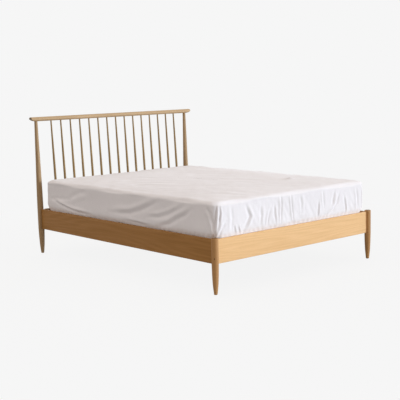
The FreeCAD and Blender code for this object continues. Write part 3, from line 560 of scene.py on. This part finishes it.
def crumple(grid, normals, places):
    """The sheet's push along its normals: folds, creases, a swaying edge and gathers at the hem."""
    heights, upward = grid[:, :, 2], normals[:, :, 2]
    shape = heights.shape
    along = np.broadcast_to(places, shape)
    on_side = 1 - smooth((upward - 0.45) / 0.4)
    on_top = smooth((upward - 0.8) / 0.2)
    on_edge = bell(upward - 0.60, 0.30) * (1 - on_top)
    foot_end = 2 * HALF_X
    along_foot = smooth((along - 0.03) / 0.10) * smooth((foot_end - along - 0.03) / 0.10)

    push = np.zeros(shape)
    for line, depth, width, ridge in seen_folds() + unseen_folds():
        push += fold(along, heights, line, FOLD_DEPTH * depth, FOLD_WIDTH * width, ridge)
    push *= on_side * (1 - FOOT_CALM * along_foot)

    # Small creases and broad waves all over, and low slanting streaks on top
    flat = grid.reshape(-1, 3)
    x, y = flat[:, 0], flat[:, 1]
    creases = np.array([noise.fractal(Vector(p), 0.9, 2.1, 3) for p in flat * (9, 9, 5)])
    creases = creases.reshape(shape)
    waves = noise_at(flat, 2.6, (0, 0, 7)).reshape(shape)
    sideways = noise_at(flat, (3.1, 3.1, 2), (11, 0, 0))
    slanting = np.column_stack([(0.75 * x - 0.66 * y) * 2.2, (0.66 * x + 0.75 * y) * 13 + 1.5 * sideways,
                                np.full(len(flat), 3.0)])
    streaks = noise_at(slanting, 1).reshape(shape)
    push += CREASE_DEPTH * creases + WAVE_DEPTH * waves
    push += on_top * (STREAK_DEPTH * streaks + SWELL_DEPTH * waves)

    # The edge of the top sways, and the hem is drawn into gathers
    push += SWAY_DEPTH * on_edge * noise_along(places, 3.6, 0.5, 9.0)
    gathers = np.sin(along * 2 * math.pi / GATHER_PITCH + 4.5 * waves)
    push += GATHER_DEPTH * gathers * bell(heights - RAIL_TOP, GATHER_REACH) * on_side

    dx, dy = grid[:, :, 0] - PINCH_X, grid[:, :, 1] - PINCH_Y
    lengthways, across = PINCH_COS * dx + PINCH_SIN * dy, PINCH_COS * dy - PINCH_SIN * dx
    push += on_top * PINCH_HEIGHT * np.exp(-(lengthways / PINCH_LENGTH) ** 2 - (across / PINCH_WIDTH) ** 2)
    push[-4:] *= 0.3        # the rows round the middle stay even
    return push


def settle(grid, normals, places, on_short_side):
    """Relax the sides as cloth that is a little too large, so that its spare width buckles into gathers.

    Threads along, up and across each mesh of the grid are pulled step by step to a length a little over
    their own, against a weak bending stiffness and a very weak hold to where they started.
    """
    top_row = int(np.argmax(normals[:, 0, 2] > 0.98)) + 3
    start = grid[:top_row + 1].copy()
    height, upward = start[:, :, 2], normals[:top_row + 1, :, 2]
    free = smooth((height - RAIL_TOP + 0.004) / 0.020) * (1 - smooth((upward - 0.2) / 0.5))
    low_down = 1 - smooth((height - RAIL_TOP) / (BORDER - RAIL_TOP))
    drift = noise_along(places, 2.3, 4.0, 1.0)
    short_slack, long_slack, seed_depth = 0.045, 0.016, 0.12
    slack = np.where(on_short_side, short_slack, long_slack) * (0.75 + 0.9 * drift)
    slack = slack * (0.25 + 0.75 * low_down) * free
    seed = np.array([[noise.noise(Vector((26.0 * s + 16.0 * z, 4.5 * z, 2.0))) for s, z in zip(places, row)]
                     for row in height])
    cloth = start + normals[:top_row + 1] * (seed_depth * seed * slack)[:, :, None]

    def next_point(form, rows, points):
        """Each point's neighbour some rows up and some points on, as far as there is one."""
        moved = np.roll(form, -points, axis=1)
        return moved[rows:] if rows else moved

    # Each thread's rows up and points on to its other end, and its share of the slack
    threads = [(0, 1, 1.0), (1, 0, 0.15), (1, 1, 0.5), (1, -1, 0.5)]
    rests = []
    for rows, points, give in threads:
        count = top_row + 1 - rows
        length = np.linalg.norm(next_point(start, rows, points) - start[:count], axis=2)
        rests.append(length * (1 + give * slack[:count]))
    steps, pace, stiffness, hold = 260, 0.30, 0.02, 0.001
    for _ in range(steps):
        push = np.zeros(cloth.shape)
        for (rows, points, _), rest in zip(threads, rests):
            count = top_row + 1 - rows
            span = next_point(cloth, rows, points) - cloth[:count]
            length = np.linalg.norm(span, axis=2, keepdims=True)
            pull = span * (0.5 - 0.5 * rest[:, :, None] / length)
            push[:count] += pull
            push[rows:] -= np.roll(pull, points, axis=1)
        moved = cloth - start
        bend = 0.25 * (np.roll(moved, 1, 1) + np.roll(moved, -1, 1)) - 0.5 * moved
        push = pace * push + stiffness * bend - hold * moved
        cloth = cloth + free[:, :, None] * push
    travel = cloth - start
    reach, most = np.linalg.norm(travel, axis=2, keepdims=True), 0.008
    travel *= most * np.tanh(reach / most) / np.maximum(reach, 1e-9)
    grid[:top_row + 1] = start + travel
    return grid


# ---------------------------------------------------------------- sheet, mattress and straps

SHEET_STEP, FINE_STEP = 0.0075, 0.0045
DEEPEST, HIGHEST = -0.015, 0.016        # limits of the push
sheet_ring = ring(SHEET_STEP, FINE_STEP)
sheet_places = perimeter(sheet_ring)
short_side = np.array([side.startswith(("foot", "head")) or side.endswith("corner")
                       for side, _ in sheet_ring])
sheet_grid = bedding(SHEET_STEP, sheet_ring, 0.0, [(0.120, BOTTOM), (0.060, BOTTOM), (0.012, BOTTOM)])
sheet_normals = grid_normals(sheet_grid)
above_rails = smooth((sheet_grid[:, :, 2] - (RAIL_TOP - 0.004)) / 0.014)
pushed = np.clip(crumple(sheet_grid, sheet_normals, sheet_places), DEEPEST, HIGHEST) * above_rails
sheet_grid = sheet_grid + sheet_normals * pushed[:, :, None]
sheet_grid = settle(sheet_grid, sheet_normals, sheet_places, short_side)
cotton = woven("sheet_cotton", (0.89, 0.86, 0.865), pitch=0.0011, depth=0.00012, shade=0.965)
sheet = skin("fitted_sheet_cloth", sheet_grid, False, cotton)

# The mattress is seen from under the bed only, between the slats
MATTRESS_STEP, UNDER_SHEET = 0.02, 0.016
mattress_grid = bedding(MATTRESS_STEP, ring(MATTRESS_STEP, MATTRESS_STEP), UNDER_SHEET,
                        [(0.30, BOTTOM + 0.002), (0.05, BOTTOM + 0.002)])
ticking = woven("mattress_ticking", (0.80, 0.79, 0.76), pitch=0.0030, depth=0.0005, shade=0.95)
mattress = skin("mattress_body", mattress_grid, True, ticking)

STRAP_WIDTH, STRAP_ROWS, SELVEDGE = 0.025, 240, 0.0004
strap_low, strap_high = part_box("slat_straps")


def strap(side):
    """Webbing along one side of the slats, with thinner selvedges. Eight points make its section."""
    middle = side * (strap_high.x - STRAP_WIDTH / 2)
    points, faces = [], []
    for y in np.linspace(strap_low.y, strap_high.y, STRAP_ROWS):
        for share in (-0.5, -0.46, 0.46, 0.5):
            x, thin = middle + share * STRAP_WIDTH, SELVEDGE if abs(share) == 0.5 else 0.0
            points += [(x, y, strap_low.z + thin), (x, y, strap_high.z - thin)]
    section = [0, 2, 4, 6, 7, 5, 3, 1]
    for row in range(STRAP_ROWS - 1):
        a, b = 8 * row, 8 * (row + 1)
        faces += [(a + p, b + p, b + q, a + q) for p, q in zip(section, section[1:] + section[:1])]
    faces.append((0, 1, 3, 5, 7, 6, 4, 2))
    faces.append(tuple(8 * (STRAP_ROWS - 1) + k for k in section))
    return new_piece("slat_strap_" + ("left" if side < 0 else "right"), points, faces, looks["slat_straps"])


straps = [strap(-1), strap(1)]

for piece, body, node in ((sheet, "bedding", "fitted_sheet"), (mattress, "bedding", "mattress"),
                          (straps[0], "bed_frame", "slat_straps"), (straps[1], "bed_frame", "slat_straps")):
    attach(piece, body)
    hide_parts(node)

# ---------------------------------------------------------------- floor and light

BACKGROUND = 0.9216
OPEN_FLOOR = 0.30           # what the light alone makes of the floor away from the bed
FLOOR_SIZE, FLOOR_TONE = 40, (0.35, 0.35, 0.35)
# The backdrop's share of the floor near the bed, and how far out it starts to grow and is full
SHOWN_NEAR, SHOWN_FROM, SHOWN_FULL = 0.86, 1.2, 3.2
FILL_COLOUR, FILL_STRENGTH = (1.0, 0.925, 0.875), 0.75
KEY_COLOUR, KEY_ENERGY, KEY_DEGREES, KEY_DIRECTION = (0.79, 0.885, 1.0), 3.45, 24, (-4.2, 5.1, -0.42)

g = Look("floor_pale", Roughness=1.0, Specular_IOR_Level=0.0)
g.set("Base Color", colour(FLOOR_TONE))
corners = [(-FLOOR_SIZE, -FLOOR_SIZE, 0), (FLOOR_SIZE, -FLOOR_SIZE, 0),
           (FLOOR_SIZE, FLOOR_SIZE, 0), (-FLOOR_SIZE, FLOOR_SIZE, 0)]
floor = new_piece("floor", corners, [(0, 1, 2, 3)], g.material)
# The floor shows the background's tone. Near the bed a part of it is lit, and so takes the bed's shadow.
x, y, z = g.split(g.coordinates((1, 1, 1)))
away = g.math("SQRT", g.math("ADD", g.math("MULTIPLY", x, x), g.math("MULTIPLY", y, y)))
shown = g.spread(away, SHOWN_FROM, SHOWN_FULL, SHOWN_NEAR, 1.0)
lit_part = g.math("MULTIPLY", g.math("SUBTRACT", 1.0, shown), OPEN_FLOOR)
glow = g.node("Emission", {"Strength": g.math("DIVIDE", g.math("SUBTRACT", BACKGROUND, lit_part), shown)})
cover = g.math("MULTIPLY", g.seen_as_backdrop(), shown)
blend = g.node("MixShader", {0: cover, 1: g.shader.outputs[0], 2: glow})
g.feed(g.nodes["Material Output"].inputs["Surface"], blend)

world = bpy.data.worlds.new("studio")
bpy.context.scene.world = world
world.use_nodes = True
world.node_tree.nodes.clear()
studio = Tree(world.node_tree)
fill = studio.node("Background", {"Color": colour(FILL_COLOUR), "Strength": FILL_STRENGTH})
backdrop = studio.node("Background", {"Color": colour((BACKGROUND, BACKGROUND, BACKGROUND))})
blend = studio.node("MixShader", {0: studio.seen_as_backdrop(), 1: fill, 2: backdrop})
studio.feed(studio.nodes.new("ShaderNodeOutputWorld").inputs["Surface"], blend)

key_data = bpy.data.lights.new("key", "SUN")
key_data.energy = KEY_ENERGY
key_data.angle = math.radians(KEY_DEGREES)
key_data.color = KEY_COLOUR
key = bpy.data.objects.new("key", key_data)
key.rotation_euler = Vector(KEY_DIRECTION).to_track_quat("-Z", "Y").to_euler()
bpy.context.scene.collection.objects.link(key)

# ---------------------------------------------------------------- camera, as solved from the photo

PLACE = (-4.54197, -5.158845, 1.38109)
YAW, PITCH, TILT = 0.72452, 0.1364, -0.02306
FOCAL_PIXELS, PICTURE_PIXELS, SENSOR = 893.263, 400, 36.0
forward = Vector((math.sin(YAW) * math.cos(PITCH), math.cos(YAW) * math.cos(PITCH), -math.sin(PITCH)))
level = Vector((math.cos(YAW), -math.sin(YAW), 0))
upward = level.cross(forward)
right = level * math.cos(TILT) + upward * math.sin(TILT)
top = upward * math.cos(TILT) - level * math.sin(TILT)
camera_data = bpy.data.cameras.new("camera")
camera_data.sensor_width = SENSOR
camera_data.lens = FOCAL_PIXELS * SENSOR / PICTURE_PIXELS
camera = bpy.data.objects.new("camera", camera_data)
camera.matrix_world = Matrix.Translation(PLACE) @ Matrix((right, top, -forward)).transposed().to_4x4()
bpy.context.scene.collection.objects.link(camera)
bpy.context.scene.camera = camera
bpy.context.scene.view_settings.view_transform = "Standard"
